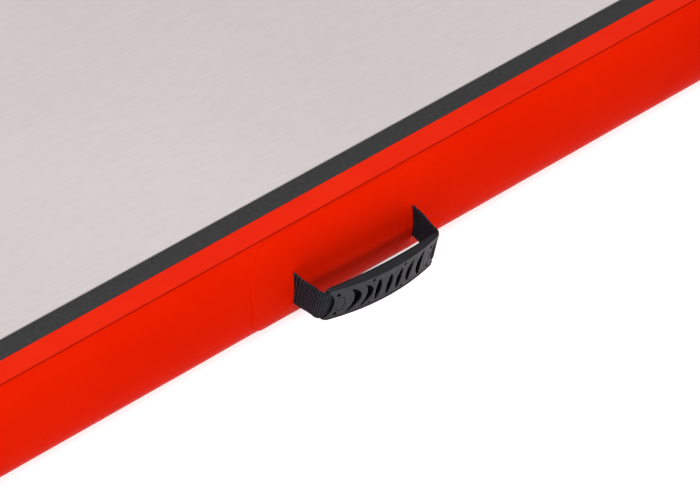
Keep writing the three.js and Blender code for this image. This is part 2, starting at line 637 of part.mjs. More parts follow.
function valveBody() {
  const barrel = turned([
    [VALVE_SEAT_RADIUS, BARREL_END],
    [VALVE_BARREL_RADIUS, BARREL_END],
    [VALVE_BARREL_RADIUS, FLANGE_BACK],
    [VALVE_FLANGE_RADIUS, FLANGE_BACK],
    [VALVE_FLANGE_RADIUS, FLANGE_FACE],
    [VALVE_SOCKET_RADIUS, FLANGE_FACE],
    [VALVE_SOCKET_RADIUS, SOCKET_FLOOR],
    [VALVE_SEAT_RADIUS, SOCKET_FLOOR],
  ]);
  const hub = valveCylinder(VALVE_HUB_RADIUS, HUB_OUTER - VALVE_HUB_THICKNESS, HUB_OUTER);
  const arms = [0, 1, 2].map((arm) => {
    const from = [-VALVE_ARM_WIDTH / 2, HUB_OUTER - VALVE_HUB_THICKNESS, 0];
    const to = [VALVE_ARM_WIDTH / 2, HUB_OUTER, VALVE_SEAT_RADIUS + 2];
    return toValve(box(from, to).rotateY(arm * Math.PI * 2 / 3));
  });
  const stemBore = valveCylinder(STEM_RADIUS + GAP, BARREL_END, HUB_OUTER + 1);
  return cut(join(barrel, hub, ...arms), stemBore);
}

const valveNut = () => {
  const nut = new THREE.CylinderGeometry(VALVE_NUT_RADIUS, VALVE_NUT_RADIUS, VALVE_NUT_THICKNESS, NUT_SIDES);
  const blank = toValve(nut.translate(0, NUT_OUTER - VALVE_NUT_THICKNESS / 2, 0));
  return cut(blank, valveCylinder(BARREL_CLEAR_RADIUS, NUT_OUTER - VALVE_NUT_THICKNESS - 1, NUT_OUTER + 1));
};

function valveStem() {
  return turned([
    [0, STEM_END],
    [STEM_HEAD_RADIUS, STEM_END],
    [STEM_HEAD_RADIUS, STEM_END + STEM_HEAD_THICKNESS],
    [STEM_RADIUS, STEM_END + STEM_HEAD_THICKNESS],
    [STEM_RADIUS, BUTTON_UNDER],
    [STEM_HEAD_RADIUS, BUTTON_UNDER],
    [STEM_HEAD_RADIUS, BUTTON_FACE],
    [0, BUTTON_FACE],
  ]);
}

function valveSpring() {
  const start = HUB_OUTER + GAP + SPRING_WIRE / 2;
  const end = BUTTON_UNDER - GAP - SPRING_WIRE / 2;
  const steps = SPRING_TURNS * SPRING_STEPS;
  const points = [];
  for (let step = 0; step <= steps; step += 1) {
    const along = step / steps;
    const angle = along * SPRING_TURNS * Math.PI * 2;
    points.push(new THREE.Vector3(
      SPRING_RADIUS * Math.cos(angle),
      start + along * (end - start),
      SPRING_RADIUS * Math.sin(angle),
    ));
  }
  const wire = new THREE.Shape().absarc(0, 0, SPRING_WIRE / 2, 0, Math.PI * 2);
  const extrudePath = new THREE.CatmullRomCurve3(points);
  const options = { extrudePath, steps: points.length - 1, curveSegments: 5 };
  return toValve(new THREE.ExtrudeGeometry(wire, options));
}

// The ring under the flange that keeps the cap, with the ear at its hinge.
function capTether() {
  const earTop = CAP_UNDER - GAP;
  const ear = [
    [VALVE_FLANGE_RADIUS + GAP, TETHER_INNER, -CAP_LUG_WIDTH / 2],
    [VALVE_TETHER_RADIUS - GAP, earTop, CAP_LUG_WIDTH / 2],
  ];
  return join(
    turnedRing(BARREL_CLEAR_RADIUS, VALVE_TETHER_RADIUS, TETHER_INNER, TETHER_OUTER),
    toValve(box(...ear)),
  );
}

function valveCap() {
  const skirtInner = CAP_SKIRT_RADIUS - CAP_SKIRT_WALL;
  const skirtEnd = FLANGE_FACE - CAP_SKIRT_DEPTH;
  const cap = turned([
    [0, CAP_UNDER],
    [skirtInner, CAP_UNDER],
    [skirtInner, skirtEnd],
    [CAP_SKIRT_RADIUS, skirtEnd],
    [CAP_SKIRT_RADIUS, CAP_UNDER],
    [VALVE_FLANGE_RADIUS, CAP_UNDER],
    [VALVE_FLANGE_RADIUS, CAP_FACE],
    [0, CAP_FACE],
  ]);
  const lug = box(
    [VALVE_SOCKET_RADIUS, CAP_UNDER, -CAP_LUG_WIDTH / 2],
    [VALVE_TETHER_RADIUS - GAP, CAP_FACE, CAP_LUG_WIDTH / 2],
  );
  return join(cap, toValve(lug));
}

const valveDisc = () => turnedRing(STEM_RADIUS + GAP, DISC_RADIUS, DISC_INNER, DISC_OUTER);

const capSeal = () => turnedRing(
  VALVE_SOCKET_RADIUS + CAP_SEAL_INNER_MARGIN,
  VALVE_FLANGE_RADIUS - CAP_SEAL_OUTER_MARGIN,
  SEAL_OUTER - CAP_SEAL_THICKNESS,
  SEAL_OUTER,
);

function addValve(group) {
  addPiece(group, 'valve_collar', valveCollar(), MATERIALS.rubber);
  addPiece(group, 'valve_body', valveBody(), MATERIALS.valve);
  addPiece(group, 'valve_nut', valveNut(), MATERIALS.valve);
  addPiece(group, 'valve_stem', valveStem(), MATERIALS.valve);
  addPiece(group, 'valve_disc', valveDisc(), MATERIALS.rubber);
  addPiece(group, 'valve_spring', valveSpring(), MATERIALS.steel);
  addPiece(group, 'cap_tether', capTether(), MATERIALS.rubber);
  addPiece(group, 'valve_cap', valveCap(), MATERIALS.valve);
  addPiece(group, 'cap_seal', capSeal(), MATERIALS.rubber);
}

// ---------------------------------------------------------------- assembly

const airTrackMat = new THREE.Group();
addMat(airTrackMat);
addHandle(airTrackMat, 'handle_1', -1, -HANDLE_X);
addHandle(airTrackMat, 'handle_2', -1, HANDLE_X);
addHandle(airTrackMat, 'handle_3', 1, HANDLE_X);
addHandle(airTrackMat, 'handle_4', 1, -HANDLE_X);
addValve(airTrackMat);

export default airTrackMat;
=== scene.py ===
# Air track mat: the looks of a drop-stitch mat with swollen red walls, taped edges,
# webbing handles and a valve.
# Metres in the scene. Shapes are written in millimetres and scaled by MM.

import json
import math

import bmesh
import bpy
from mathutils import Matrix, Vector, noise


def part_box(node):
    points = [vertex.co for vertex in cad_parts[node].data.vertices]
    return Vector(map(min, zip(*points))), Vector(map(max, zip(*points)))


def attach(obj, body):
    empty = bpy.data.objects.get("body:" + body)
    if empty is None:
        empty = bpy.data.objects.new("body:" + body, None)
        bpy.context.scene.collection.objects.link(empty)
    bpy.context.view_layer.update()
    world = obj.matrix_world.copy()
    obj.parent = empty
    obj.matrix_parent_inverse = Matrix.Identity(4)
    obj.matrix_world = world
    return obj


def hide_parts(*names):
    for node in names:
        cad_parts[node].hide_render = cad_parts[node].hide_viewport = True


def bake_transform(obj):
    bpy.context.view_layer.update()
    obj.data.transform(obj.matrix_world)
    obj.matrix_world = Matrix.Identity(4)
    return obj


MM = 0.001

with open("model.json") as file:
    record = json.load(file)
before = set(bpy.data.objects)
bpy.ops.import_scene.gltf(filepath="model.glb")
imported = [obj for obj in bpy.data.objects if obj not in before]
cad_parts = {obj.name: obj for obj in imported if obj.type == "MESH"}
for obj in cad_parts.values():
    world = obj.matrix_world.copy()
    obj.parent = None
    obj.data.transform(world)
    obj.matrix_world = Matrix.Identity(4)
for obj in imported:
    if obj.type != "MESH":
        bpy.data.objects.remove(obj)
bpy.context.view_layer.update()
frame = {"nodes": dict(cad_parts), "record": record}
JOINTS = {joint["name"]: joint for joint in frame["record"]["behaviour"]["joints"]}


# ------------------------------------------------------------ sizes, from the frame and the real object

def size_mm(node, axis):
    low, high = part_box(node)
    return (high[axis] - low[axis]) / MM


HALF_LENGTH = size_mm("outer_wall", 0) / 2
HALF_WIDTH = size_mm("outer_wall", 1) / 2
HEIGHT = size_mm("outer_wall", 2)
BULGE = 25.0  # of the wall past its seam line
SEAM_RADIUS = 120.0
SHEET = 0.9  # thickness of each wall layer and skin
LAYER_GAP = 0.3
SKIN_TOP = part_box("top_skin")[1][2] / MM
RIM_UNDER = HEIGHT - SKIN_TOP
FLANGE_TOP = SKIN_TOP + SHEET
FLANGE_WIDTH = 30.0
TAPE_START = 30.3
TAPE_END = 56.3
TAPE = 0.6

HANDLES = (1, 2, 3, 4)
ROOT_HEIGHT = 48.5
ROOT_FOLD = 7.4  # from the wall's crest to the strap's first fold line
STRAP_HALF = 18.0
STRAP_THICKNESS = 1.8
STRAP_OUT = 38.4  # from the wall's crest to the strap inside the grip
STRAP_CORNER = 6.5
RIB_PITCH = 2.3
RIB_HEIGHT = 0.4
SLIT_STRETCH = 1.06  # of the strap's width, where it leaves the wall
ROOT_BLEND = 13.0  # from the wall's crest to where the strap takes its free shape
RECESS_PAINTED_SHADE = 0.35  # share of the ribs' painted highlight kept inside the grip, as painted shade of its recess
ROLL = 0.051  # how much lower one end of the grip hangs, per length
GRIP_HALF = 76.5
GRIP_HEIGHT = 41.0
GRIP_BACK = 36.0
GRIP_BACK_THICKNESS = 1.2
GRIP_END = 40.8
GRIP_BOW = 9.5
GRIP_BACK_BOW = 4.0
GRIP_RIM = 2.2
PATCH_HALF = 138.0
PATCH_TOP = 3.3
PATCH_BOTTOM = 8.0
PATCH_RADIUS = 48.0
PATCH_THICKNESS = 0.8


# ------------------------------------------------------------ node materials

def linear(*srgb):
    """An 8-bit screen colour as a scene colour."""
    def one(value):
        value /= 255
        return value / 12.92 if value <= 0.04045 else ((value + 0.055) / 1.055) ** 2.4
    return tuple(one(value) for value in srgb) + (1.0,)


class Nodes:
    """A new material and a short way to add and link its nodes."""

    def __init__(self, name, roughness, specular=0.5, **values):
        self.material = bpy.data.materials.new(name)
        self.material.use_nodes = True
        self.tree = self.material.node_tree
        self.shader = self.tree.nodes["Principled BSDF"]
        self.shader.inputs["Roughness"].default_value = roughness
        self.shader.inputs["Specular IOR Level"].default_value = specular
        for key, value in values.items():
            self.shader.inputs[key.replace("_", " ")].default_value = value
        self.place = self.add("ShaderNodeTexCoord").outputs["Object"]

    def add(self, kind, **inputs):
        node = self.tree.nodes.new(kind)
        for key, value in inputs.items():
            socket = node.inputs[key.replace("_", " ")]
            if isinstance(value, bpy.types.NodeSocket):
                self.tree.links.new(value, socket)
            else:
                socket.default_value = value
        return node

    def stretch(self, scale, turn=(0, 0, 0)):
        return self.add("ShaderNodeMapping", Vector=self.place, Scale=scale, Rotation=turn).outputs["Vector"]

    def noise(self, scale, detail=3.0, vector=None, roughness=0.5):
        place = vector or self.place
        node = self.add("ShaderNodeTexNoise", Vector=place, Scale=scale, Detail=detail, Roughness=roughness)
        return node.outputs["Fac"]

    def wave(self, scale, direction, distortion=0.0, vector=None):
        node = self.add("ShaderNodeTexWave", Vector=vector or self.place, Scale=scale, Distortion=distortion)
        node.bands_direction = direction
        return node.outputs["Fac"]

    def math(self, operation, a, b):
        node = self.tree.nodes.new("ShaderNodeMath")
        node.operation = operation
        for socket, value in zip(node.inputs, (a, b)):
            if isinstance(value, bpy.types.NodeSocket):
                self.tree.links.new(value, socket)
            else:
                socket.default_value = value
        return node.outputs[0]

    def ramp(self, factor, *stops):
        node = self.add("ShaderNodeValToRGB", Fac=factor)
        elements = node.color_ramp.elements
        while len(elements) < len(stops):
            elements.new(0.5)
        for element, (position, color) in zip(elements, stops):
            element.position = position
            element.color = color
        return node.outputs["Color"]

    def mix(self, factor, a, b):
        node = self.tree.nodes.new("ShaderNodeMix")
        node.data_type = "RGBA"
        for socket, value in ((node.inputs[0], factor), (node.inputs[6], a), (node.inputs[7], b)):
            if isinstance(value, bpy.types.NodeSocket):
                self.tree.links.new(value, socket)
            else:
                socket.default_value = value
        return node.outputs[2]

    def color(self, socket):
        self.tree.links.new(socket, self.shader.inputs["Base Color"])
        return self

    def roughen(self, factor, low, high):
        stops = ((0.3, (low, low, low, 1)), (0.7, (high, high, high, 1)))
        self.tree.links.new(self.ramp(factor, *stops), self.shader.inputs["Roughness"])
        return self

    def bump(self, height, distance, strength=1.0):
        node = self.add("ShaderNodeBump", Height=height, Distance=distance, Strength=strength)
        self.tree.links.new(node.outputs["Normal"], self.shader.inputs["Normal"])
        return self


def attribute(nodes, name):
    node = nodes.add("ShaderNodeAttribute")
    node.attribute_name = name
    return node.outputs["Fac"]


def wall_material():
    """Glossy coated fabric. The attribute "seam" is 1 on the cut edge of the wall's outer layer, where a dark
    line of painted shade is mixed in.
    """
    nodes = Nodes("wall_pvc", 0.3, 0.005)
    soft = nodes.noise(9.0, 2.0)
    red = nodes.ramp(soft, (0.3, linear(230, 29, 1)), (0.7, linear(236, 33, 2)))
    # Painted shade: a dark line along the outer layer's cut edges, at the top seam and at the bottom.
    edge = nodes.mix(attribute(nodes, "seam"), red, linear(110, 6, 2))
    nodes.color(edge).roughen(nodes.noise(12.0, 3.0), 0.2, 0.3)
    return nodes.bump(nodes.noise(900.0, 2.0), 0.00006, 0.4).material


def flange_material():
    nodes = Nodes("inner_wall_pvc", 0.45, 0.03)
    red = nodes.ramp(nodes.noise(14.0, 2.0), (0.3, linear(241, 38, 12)), (0.7, linear(247, 43, 15)))
    return nodes.color(red).bump(nodes.noise(1100.0, 2.0), 0.00008, 0.5).material


def tape_material():
    """Dark tape with a fine grain. The attribute "lip" is 1 on its inner edge, which carries a painted
    highlight.
    """
    nodes = Nodes("edge_tape", 0.6, 0.15)
    grey = nodes.ramp(nodes.noise(320.0, 4.0), (0.3, linear(52, 51, 52)), (0.7, linear(62, 61, 62)))
    # Painted highlight: a lighter grey along the tape's inner edge.
    nodes.color(nodes.mix(attribute(nodes, "lip"), grey, linear(134, 131, 130)))
    return nodes.bump(nodes.noise(1500.0, 3.0), 0.0001, 0.6).material


def top_material():
    """Matt pale top: an embossed weave, faint streaks along the cloth and soft clouding."""
    nodes = Nodes("top_pvc", 0.75, 0.25)
    streaks = nodes.noise(3.0, 4.0, nodes.stretch((14.0, 90.0, 1.0), (0, 0, math.radians(18))))
    clouds = nodes.noise(2.2, 3.0)
    tone = nodes.math("ADD", nodes.math("MULTIPLY", streaks, 0.45), nodes.math("MULTIPLY", clouds, 0.55))
    nodes.color(nodes.ramp(tone, (0.35, linear(217, 209, 207)), (0.65, linear(226, 218, 216))))
    nodes.roughen(streaks, 0.7, 0.8)
    warp = nodes.wave(260.0, "X", 0.6)
    weft = nodes.wave(260.0, "Y", 0.6)
    weave = nodes.math("ADD", nodes.math("MULTIPLY", warp, weft), nodes.math("MULTIPLY", streaks, 0.6))
    return nodes.bump(weave, 0.00025, 0.55).material


def base_material():
    nodes = Nodes("base_pvc", 0.75, 0.3)
    nodes.color(nodes.ramp(nodes.noise(30.0), (0.3, linear(44, 44, 46)), (0.7, linear(56, 56, 58))))
    grip = nodes.math("MULTIPLY", nodes.wave(120.0, "X"), nodes.wave(120.0, "Y"))
    return nodes.bump(grip, 0.0004, 0.7).material


def yarn_material():
    nodes = Nodes("stitch_yarn", 0.9, 0.2)
    nodes.color(nodes.ramp(nodes.noise(800.0), (0.3, linear(214, 211, 203)), (0.7, linear(240, 238, 232))))
    return nodes.bump(nodes.wave(900.0, "DIAGONAL"), 0.0002).material


def webbing_material():
    """Near-black webbing with a painted highlight, cooler and lighter, where the attribute "crest" marks the
    tops of its ribs.
    """
    nodes = Nodes("webbing", 0.75, 0.08)
    fuzz = nodes.noise(900.0, 4.0)
    threads = nodes.wave(520.0, "Z", 1.5)
    # Painted highlight: the rib tops are coloured lighter and cooler, varied by the fuzz noise.
    crest_highlight_fuzz = nodes.math("ADD", nodes.math("MULTIPLY", fuzz, 0.8), 0.45)
    shade = nodes.math("MULTIPLY", attribute(nodes, "crest"), crest_highlight_fuzz)
    stops = ((0.2, linear(3, 3, 5)), (0.65, linear(24, 25, 31)), (1.0, linear(76, 80, 92)))
    nodes.color(nodes.ramp(shade, *stops))
    relief = nodes.math("ADD", nodes.math("MULTIPLY", threads, 0.5), fuzz)
    return nodes.bump(relief, 0.0002, 0.7).material


def grip_material():
    nodes = Nodes("grip_plastic", 0.5, 0.2)
    tone = nodes.noise(45.0, 4.0)
    nodes.color(nodes.ramp(tone, (0.3, linear(28, 29, 33)), (0.7, linear(36, 36, 41))))
    nodes.roughen(nodes.noise(160.0), 0.42, 0.56)
    return nodes.bump(nodes.noise(1400.0, 3.0), 0.00008, 0.6).material


def valve_material():
    nodes = Nodes("valve_plastic", 0.42, 0.45)
    nodes.color(nodes.ramp(nodes.noise(60.0), (0.3, linear(40, 41, 43)), (0.7, linear(50, 51, 53))))
    return nodes.bump(nodes.noise(1600.0, 3.0), 0.00006, 0.5).material


def rubber_material():
    nodes = Nodes("valve_rubber", 0.7, 0.35)
    nodes.color(nodes.ramp(nodes.noise(90.0), (0.3, linear(26, 26, 27)), (0.7, linear(36, 36, 37))))
    return nodes.bump(nodes.noise(900.0, 3.0), 0.0001, 0.5).material


def steel_material():
    nodes = Nodes("spring_steel", 0.28, 0.5, Metallic=1.0)
    nodes.color(nodes.ramp(nodes.noise(500.0), (0.3, linear(176, 178, 182)), (0.7, linear(206, 208, 212))))
    return nodes.bump(nodes.noise(2000.0), 0.00005, 0.4).material


MATERIALS = {
    "wall_pvc": wall_material(),
    "inner_wall_pvc": flange_material(),
    "edge_tape": tape_material(),
    "top_pvc": top_material(),
    "base_pvc": base_material(),
    "stitch_yarn": yarn_material(),
    "webbing": webbing_material(),
    "grip_plastic": grip_material(),
    "valve_plastic": valve_material(),
    "valve_rubber": rubber_material(),
    "spring_steel": steel_material(),
}


# ------------------------------------------------------------ mesh helpers

def make_object(name, mesh, slot, smooth_angle=40.0):
    """Links the mesh as a piece, with that slot's material and smooth shading up to an angle."""
    mesh.materials.clear()
    mesh.materials.append(MATERIALS[slot])
    mesh.shade_smooth()
    mesh.set_sharp_from_angle(angle=math.radians(smooth_angle))
    piece = bpy.data.objects.new(name, mesh)
    bpy.context.scene.collection.objects.link(piece)
    return piece


def mesh_from(name, points, faces, scale=MM, transform=None):
    mesh = bpy.data.meshes.new(name)
    mesh.from_pydata([Vector(point) * scale for point in points], [], faces)
    mesh.update()
    bm = bmesh.new()
    bm.from_mesh(mesh)
    bmesh.ops.recalc_face_normals(bm, faces=bm.faces)
    bm.to_mesh(mesh)
    bm.free()
    if transform is not None:
        mesh.transform(transform)
    return mesh


def grid_faces(rows, columns, wrap_rows=False, wrap_columns=False):
    faces = []
    for row in range(rows if wrap_rows else rows - 1):
        for column in range(columns if wrap_columns else columns - 1):
            after = (row + 1) % rows
            beside = (column + 1) % columns
            faces.append((row * columns + column, after * columns + column,
                          after * columns + beside, row * columns + beside))
    return faces


def set_attribute(mesh, name, values):
    layer = mesh.attributes.new(name, "FLOAT", "POINT")
    layer.data.foreach_set("value", values)


def evaluated_mesh(piece, name):
    """The piece's mesh with its modifiers or curve settings applied. The piece itself is deleted."""
    bpy.context.view_layer.update()
    mesh = bpy.data.meshes.new_from_object(piece.evaluated_get(bpy.context.evaluated_depsgraph_get()))
    mesh.name = name
    bpy.data.objects.remove(piece)
    return mesh


def flat_mesh(name, outlines, thickness, bevel):
    """A plate in the XY plane: the first outline, with the others as holes, and its edges rounded."""
    curve = bpy.data.curves.new(name, "CURVE")
    curve.dimensions = "2D"
    curve.fill_mode = "BOTH"
    curve.extrude = thickness / 2 - bevel
    curve.bevel_depth = bevel
    curve.bevel_resolution = 2
    curve.offset = -bevel
    for outline in outlines:
        spline = curve.splines.new("POLY")
        spline.points.add(len(outline) - 1)
        for point, (x, y) in zip(spline.points, outline):
            point.co = (x, y, 0, 1)
        spline.use_cyclic_u = True
    piece = bpy.data.objects.new(name, curve)
    bpy.context.scene.collection.objects.link(piece)
    mesh = evaluated_mesh(piece, name)
    bm = bmesh.new()
    bm.from_mesh(mesh)
    bmesh.ops.remove_doubles(bm, verts=bm.verts, dist=1e-4)
    bm.to_mesh(mesh)
    bm.free()
    return mesh


def join_meshes(name, meshes):
    bm = bmesh.new()
    for mesh in meshes:
        bm.from_mesh(mesh)
    joined = bpy.data.meshes.new(name)
    bm.to_mesh(joined)
    bm.free()
    return joined


def arc(centre_x, centre_y, radius, start, end, steps=8):
    """Points on an arc, by angles in degrees."""
    points = []
    for step in range(steps + 1):
        angle = math.radians(start + (end - start) * step / steps)
        points.append((centre_x + radius * math.cos(angle), centre_y + radius * math.sin(angle)))
    return points


def smoothstep(value):
    value = min(1.0, max(0.0, value))
    return value * value * (3 - 2 * value)


# ------------------------------------------------------------ the wall's section and outline

def wall_section(angle, inset=0.0):
    """(outset from the seam line, height) on a layer of the swollen wall."""
    return ((BULGE - inset) * math.cos(angle), HEIGHT / 2 + (HEIGHT / 2 - inset) * math.sin(angle))


ARC_STEPS = 600


def arc_table():
    """Arc length down the wall from its top seam, against the angle of its section."""
    table = [(0.0, math.pi / 2)]
    last = wall_section(math.pi / 2)
    for step in range(1, ARC_STEPS + 1):
        angle = (0.5 - step / ARC_STEPS) * math.pi
        here = wall_section(angle)
        table.append((table[-1][0] + math.dist(here, last), angle))
        last = here
    return table


ARCS = arc_table()
WALL_ARC = ARCS[-1][0]


def angle_at(arc_length):
    low, high = 0, len(ARCS) - 1
    while high - low > 1:
        middle = (low + high) // 2
        if ARCS[middle][0] < arc_length:
            low = middle
        else:
            high = middle
    (a0, t0), (a1, t1) = ARCS[low], ARCS[high]
    return t0 + (t1 - t0) * (arc_length - a0) / (a1 - a0)


def swell(x, angle, side):
    """Slow unevenness of the inflated wall, in millimetres outward."""
    place = Vector((x / 90.0, angle * 1.3, side * 7.0))
    return 0.35 * noise.noise(place) * math.cos(angle)


def wall_surface(x, arc_length, offset, side):
    """(outset, height) of the outer wall's face at a length down from the seam, moved outward by offset."""
    angle = angle_at(arc_length)
    out, height = wall_section(angle)
    normal = Vector((math.cos(angle) * HEIGHT / 2, math.sin(angle) * BULGE)).normalized()
    offset += swell(x, angle, side)
    return out + normal.x * offset, height + normal.y * offset


def stations(side_step, corner_steps):
    """Points round the seam line: the corner's centre and the way out, with the long sides divided."""
    inner_x = HALF_LENGTH - BULGE - SEAM_RADIUS
    inner_y = HALF_WIDTH - BULGE - SEAM_RADIUS
    result = []
    quarters = ((1, 1), (-1, 1), (-1, -1), (1, -1))
    for quarter, (sx, sy) in enumerate(quarters):
        centre = Vector((sx * inner_x, sy * inner_y))
        for step in range(corner_steps + 1):
            angle = math.radians(90) * (quarter + step / corner_steps)
            out = Vector((math.cos(angle), math.sin(angle)))
            result.append((centre, out))
        following = quarters[(quarter + 1) % 4]
        target = Vector((following[0] * inner_x, following[1] * inner_y))
        count = max(1, round((target - centre).length / side_step))
        for step in range(1, count):
            result.append((centre.lerp(target, step / count), out))
    return result


def ring_mesh(name, profile, side_step=200.0, corner_steps=20, outward=None):
    """A closed ring round the mat. The profile's points are (outset, height)."""
    points = []
    places = stations(side_step, corner_steps)
    for centre, out in places:
        for index, (outset, height) in enumerate(profile):
            extra = outward(index, centre, out) if outward else 0.0
            at = centre + out * (SEAM_RADIUS + outset + extra)
            points.append((at.x, at.y, height))
    return mesh_from(name, points, grid_faces(len(places), len(profile), True, True))


def ring_attribute(mesh, name, profile_values):
    set_attribute(mesh, name, profile_values * (len(mesh.vertices) // len(profile_values)))


# ------------------------------------------------------------ walls, flange and tapes

VALVE_HOLE = 30.0


def cut_valve_hole(mesh, name, slot):
    """Opens the round hole for the valve in a wall layer, at the mat's far end."""
    piece = bpy.data.objects.new(name, mesh)
    bpy.context.scene.collection.objects.link(piece)
    points = []
    for x in (HALF_LENGTH - BULGE - 1, HALF_LENGTH + 10):
        points += [(x, y, HEIGHT / 2 + z) for y, z in arc(0, 0, VALVE_HOLE, 0, 360 - 360 / 64, 63)]
    faces = [tuple(range(64)), tuple(range(64, 128))]
    faces += [(i, (i + 1) % 64, 64 + (i + 1) % 64, 64 + i) for i in range(64)]
    tool = bpy.data.objects.new("valve_hole_tool", mesh_from("valve_hole_tool", points, faces))
    bpy.context.scene.collection.objects.link(tool)
    modifier = piece.modifiers.new("hole", "BOOLEAN")
    modifier.operation = "DIFFERENCE"
    modifier.solver = "EXACT"
    modifier.object = tool
    cut = evaluated_mesh(piece, name)
    bpy.data.objects.remove(tool)
    return make_object(name, cut, slot, 35.0)


def build_outer_wall():
    steps = 44
    angles = [(step / steps - 0.5) * math.pi for step in range(steps + 1)]
    outer = [wall_section(angle) for angle in angles]
    inner = [wall_section(angle, SHEET) for angle in reversed(angles)]
    # seam marks the layer's cut edges, where the wall material paints a dark shade line.
    seam = [1.0] + [0.0] * (steps - 1) + [1.0] + [1.0] + [0.0] * (steps - 1) + [1.0]
    angles += list(reversed(angles))

    def unevenness(index, centre, out):
        along_x = abs(out.y) > 0.999
        side = math.copysign(1, out.y)
        return swell(centre.x, angles[index], side) if along_x else 0.0

    mesh = ring_mesh("outer_wall_skin", outer + inner, 20.0, 24, unevenness)
    ring_attribute(mesh, "seam", seam)
    wall = cut_valve_hole(mesh, "outer_wall_skin", "wall_pvc")
    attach(wall, "mat")
    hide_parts("outer_wall")


def build_inner_wall():
    steps = 20
    inset = SHEET + LAYER_GAP
    angles = [(step / steps - 0.5) * math.pi for step in range(steps + 1)]
    outer = [wall_section(angle, inset) for angle in angles]
    inner = [wall_section(angle, inset + SHEET) for angle in reversed(angles)]
    lip = 0.25
    profile = outer + [(-FLANGE_WIDTH + lip, FLANGE_TOP), (-FLANGE_WIDTH, FLANGE_TOP - lip),
                       (-FLANGE_WIDTH, SKIN_TOP)]
    profile += inner + [(-FLANGE_WIDTH, RIM_UNDER), (-FLANGE_WIDTH, inset)]
    ring = ring_mesh("inner_wall_skin", profile, 200.0, 24)
    wall = cut_valve_hole(ring, "inner_wall_skin", "inner_wall_pvc")
    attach(wall, "mat")
    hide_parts("inner_wall")


def build_tape(name, node, low, high):
    lip = 0.3
    profile = [(-TAPE_START, low), (-TAPE_START, high - lip), (-TAPE_START - lip, high),
               (-TAPE_END + 1.6, high), (-TAPE_END + 1.2, high), (-TAPE_END + lip, high),
               (-TAPE_END, high - lip), (-TAPE_END, low)]
    mesh = ring_mesh(name, profile, 200.0, 24)
    # lip marks the tape's inner edge, where its material paints a highlight.
    ring_attribute(mesh, "lip", [0.0, 0.0, 0.0, 0.0, 1.0, 1.0, 1.0, 1.0])
    tape = make_object(name, mesh, "edge_tape", 50.0)
    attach(tape, "mat")
    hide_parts(node)


# ------------------------------------------------------------ handles

class Handle:
    """A handle's own frame in millimetres: X along its slits, -Y out along the strap, Z across the strap."""

    def __init__(self, number):
        self.name = f"handle_{number}"
        near = JOINTS[f"{self.name}_fold"]
        far = JOINTS[f"{self.name}_far_leg_fold"]
        left, right = Vector(near["pos_m"]), Vector(far["pos_m"])
        along = (right - left).normalized()
        across = Vector(near["axis"]).normalized()
        inward = across.cross(along)
        axes = Matrix((along, inward, across)).transposed().to_4x4()
        crest = (left + right) / 2 + inward * ROOT_FOLD * MM
        self.matrix = Matrix.Translation(crest) @ axes
        self.inverse = self.matrix.inverted()
        self.side = -1.0 if crest.y < 0 else 1.0
        self.half_span = (right - left).length / 2 / MM
        self.middle = crest.x / MM
        self.fold = STRAP_OUT - STRAP_CORNER - STRAP_THICKNESS / 2 - LAYER_GAP

    def place(self, point):
        """A point of the handle's frame, in millimetres, as a place in the scene."""
        return self.matrix @ (Vector(point) * MM)

    def along(self, x):
        """The mat's x, in millimetres, at x along the wall from the handle's middle."""
        return self.middle - self.side * x

    def on_wall(self, x, arc_length, offset):
        """A place in the scene on the wall, at x along it from the handle's middle."""
        out, height = wall_surface(self.along(x), arc_length, offset, self.side)
        seam_y = HALF_WIDTH - BULGE
        return Vector((self.along(x), self.side * (seam_y + out), height)) * MM


def crumple(x, arc_length, half_span):
    """How far the patch lifts near the straps' roots: a tent, lips at the slit and fanned creases."""
    root_arc = WALL_ARC * 0.515
    lift = 0.0
    for side in (-1, 1):
        dx = (x - side * half_span) * side
        dz = root_arc - arc_length
        beyond = max(0.0, abs(dz) - STRAP_HALF)
        near = math.hypot(dx, beyond)
        lift += 1.3 * math.exp(-(near / 9.0) ** 2)
        lift += 0.7 * math.exp(-((abs(dx) - 2.6) / 1.1) ** 2) * math.exp(-(beyond / 3.0) ** 2)
        lift += 0.9 * math.exp(-((dx + 11.0) / 2.2) ** 2) * math.exp(-(dz / 20.0) ** 2)
        if dx > 0:
            turn = math.atan2(dz + 6.0, dx + 6.0)
            radius = math.hypot(dz + 6.0, dx + 6.0)
            fade = smoothstep((radius - 8.0) / 8.0) * math.exp(-radius / 24.0)
            ripple = math.sin(turn * 13.0 + 1.6 * noise.noise(Vector((turn * 3, radius / 30.0, side * 5.0))))
            lift += (1.8 if side > 0 else 0.3) * fade * ripple * smoothstep(dx / 6.0)
    return lift


